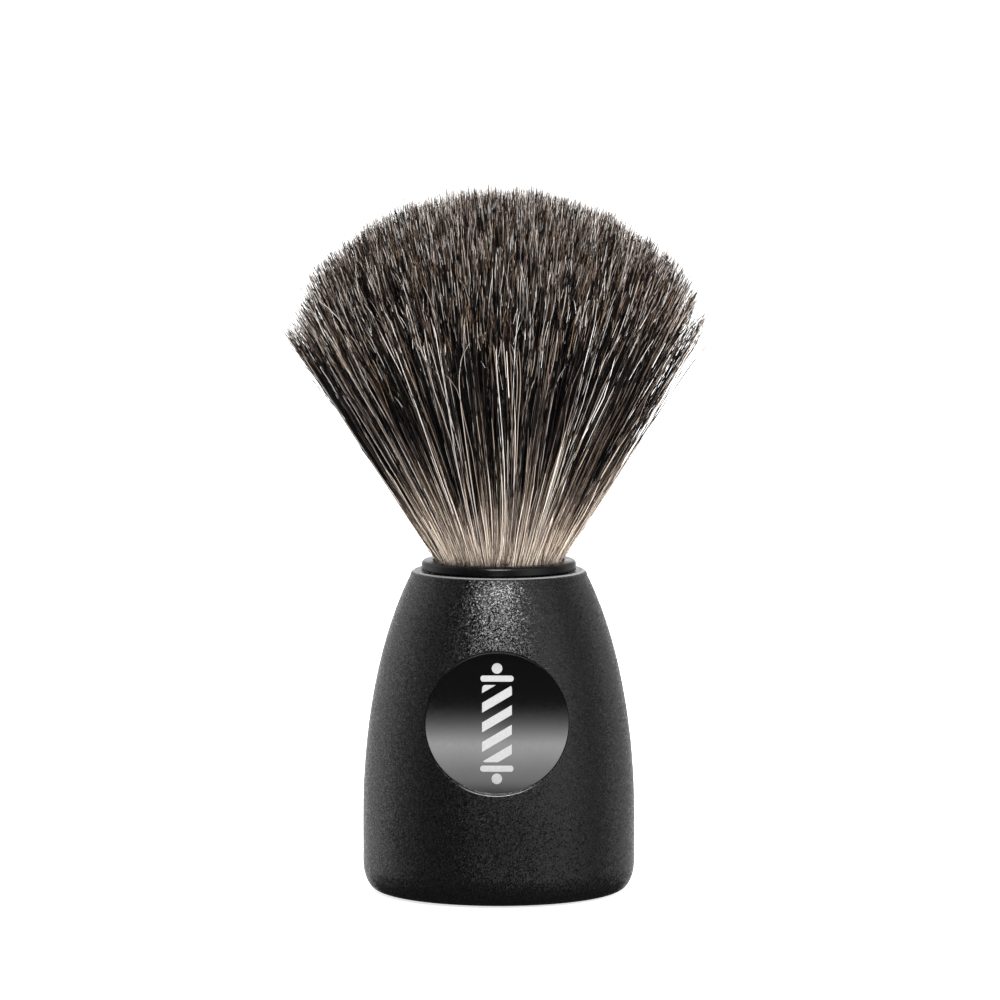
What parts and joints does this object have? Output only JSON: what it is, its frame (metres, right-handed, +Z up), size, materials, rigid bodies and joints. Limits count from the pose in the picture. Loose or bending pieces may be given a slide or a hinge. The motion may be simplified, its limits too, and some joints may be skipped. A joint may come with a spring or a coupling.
{
  "type": "shaving brush",
  "caption": "Shaving brush with a weighted ogive handle, round front badge, flanged collar and a domed, fan-shaped hair knot.",
  "frame": {"origin": "middle of the foot pad's underside, on the surface the brush stands on", "axes": "+Z up along the brush's turned axis, from the foot to the hair tips; the badge faces -Y"},
  "size_m": [0.062, 0.062, 0.105],
  "materials": {
    "handle": "matt black with a fine eroded grain",
    "collar": "polished black",
    "hair": "banded animal hair",
    "badge": "polished dark metal with a pale printed emblem",
    "resin": "cast amber resin",
    "thread": "waxed linen",
    "epoxy": "cured adhesive",
    "adhesive_foam": "closed-cell foam",
    "ballast": "turned steel",
    "base": "matt black",
    "foot": "fine-textured foam rubber"
  },
  "bodies": {
    "root": {"handle_shell": "handle", "knot_collar": "collar", "collar_adhesive": "epoxy", "knot_resin_plug": "resin", "knot_binding_thread": "thread", "hair_knot": "hair", "badge_disc": "badge", "badge_adhesive_pad": "adhesive_foam", "ballast_slug": "ballast", "ballast_adhesive": "epoxy", "base_cap": "base", "foot_pad": "foot"}
  },
  "joints": []
}
